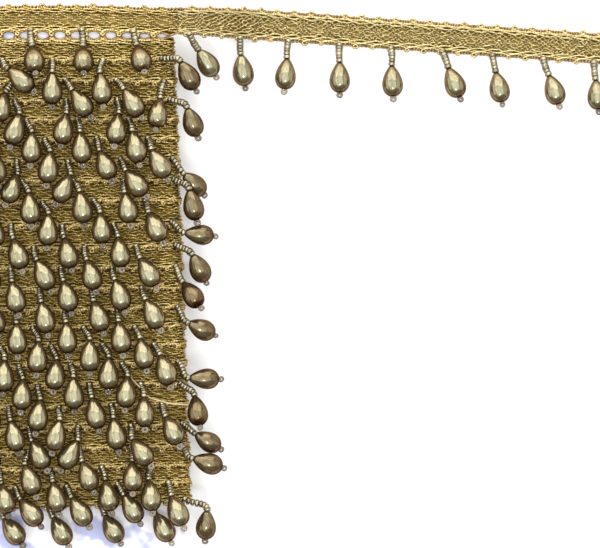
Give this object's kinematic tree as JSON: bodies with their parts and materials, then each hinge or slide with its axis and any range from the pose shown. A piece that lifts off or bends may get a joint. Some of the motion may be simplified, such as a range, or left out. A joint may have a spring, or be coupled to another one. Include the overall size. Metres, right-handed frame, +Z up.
{
  "type": "roll of beaded lace trim",
  "caption": "Gold braid trim with picot edges and a fringe of beaded drops, wound in overlapping turns round a flat white card, with its loose end lying beside the roll.",
  "frame": {"origin": "centre of the bounding box, on the surface that the roll lies on", "axes": "+X along the turns, from the roll towards the end of the loose trim; +Y towards the top of the winding; +Z up, out of the roll's front"},
  "size_m": [0.208, 0.1632, 0.0197],
  "materials": {
    "card": "matte white paper board",
    "gold_braid": "metallic gold yarn with a soft glitter",
    "gold_bead": "champagne gold pearl coat, glossy",
    "seed_bead": "clear glass with a pale gold tint"
  },
  "bodies": {
    "root": {"card": "card", "wound_braid": "gold_braid", "turn_01_drops": "gold_bead", "turn_02_drops": "gold_bead", "turn_03_drops": "gold_bead", "turn_04_drops": "gold_bead", "turn_05_drops": "gold_bead", "turn_06_drops": "gold_bead", "turn_07_drops": "gold_bead", "turn_08_drops": "gold_bead", "turn_09_drops": "gold_bead", "turn_10_drops": "gold_bead", "turn_11_drops": "gold_bead", "turn_12_drops": "gold_bead", "turn_13_drops": "gold_bead", "turn_14_drops": "gold_bead", "turn_15_drops": "gold_bead", "turn_16_drops": "gold_bead", "turn_17_drops": "gold_bead", "turn_18_drops": "gold_bead", "turn_19_drops": "gold_bead", "turn_20_drops": "gold_bead", "turn_21_drops": "gold_bead", "turn_22_drops": "gold_bead", "turn_23_drops": "gold_bead", "turn_24_drops": "gold_bead", "tail_braid": "gold_braid", "tail_fall_drops": "gold_bead", "tail_drops": "gold_bead"}
  },
  "joints": []
}
